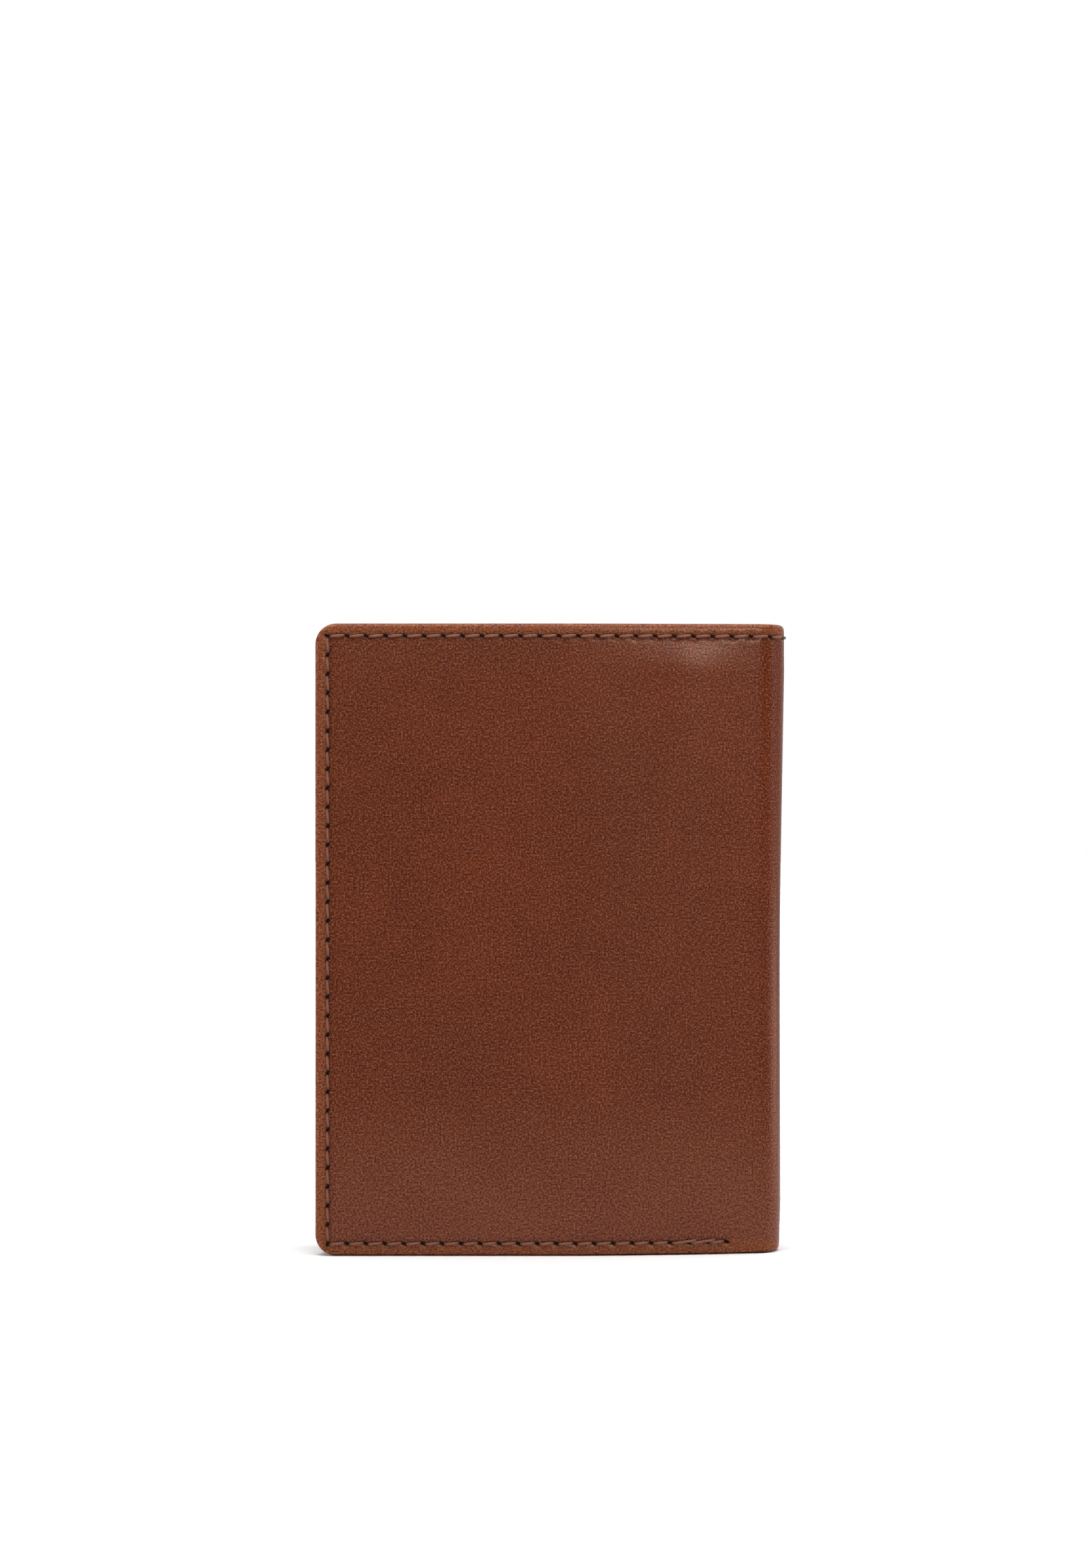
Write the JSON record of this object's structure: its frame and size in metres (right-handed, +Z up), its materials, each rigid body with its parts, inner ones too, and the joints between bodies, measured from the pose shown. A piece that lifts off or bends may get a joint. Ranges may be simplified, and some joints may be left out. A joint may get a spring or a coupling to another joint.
{
  "type": "leather passport holder",
  "caption": "Closed leather passport holder with a folding spine, a passport sleeve on one half and stepped card slots on the other.",
  "frame": {"origin": "bottom centre of the closed holder's bounding box, on the surface that it stands on", "axes": "+Z up the holder's height; +X towards the spine; -Y out of the back cover's outer face, +Y out of the front cover's"},
  "size_m": [0.1, 0.015, 0.135],
  "materials": {
    "cover_leather": "smooth, semi-gloss, fine grain",
    "inner_leather": "smooth, satin, thinner than the cover",
    "lining_cloth": "plain weave, matt",
    "board": "fibre board, matt",
    "thread": "waxed polyester thread"
  },
  "bodies": {
    "back_half": {"cover_back": "cover_leather", "board_back": "board", "lining_back": "lining_cloth", "divider_lining_back": "lining_cloth", "divider_back": "inner_leather", "sleeve_lining": "lining_cloth", "passport_sleeve": "inner_leather", "needle_thread_back": "thread", "sleeve_thread": "thread", "bobbin_thread_back": "thread"},
    "spine": {"cover_spine": "cover_leather", "spine_board": "board", "spine_lining": "lining_cloth", "needle_thread_spine": "thread"},
    "front_half": {"cover_front": "cover_leather", "board_front": "board", "lining_front": "lining_cloth", "divider_lining_front": "lining_cloth", "divider_front": "inner_leather", "card_backing": "lining_cloth", "card_slot_1": "inner_leather", "card_slot_2": "inner_leather", "card_slot_3": "inner_leather", "needle_thread_front": "thread", "divider_hem_thread": "thread", "card_panel_thread": "thread"}
  },
  "joints": [
    {"name": "fold_back", "type": "hinge", "parent": "back_half", "child": "spine", "pos_m": [0.04792, -0.00542, 0.0675], "axis": [0, 0, -1], "range_deg": [0, 90]},
    {"name": "fold_front", "type": "hinge", "parent": "spine", "child": "front_half", "pos_m": [0.04792, 0.00542, 0.0675], "axis": [0, 0, -1], "range_deg": [0, 90]}
  ],
  "couplings": [
    {"joint": "fold_front", "follows": "fold_back", "ratio": 1}
  ]
}
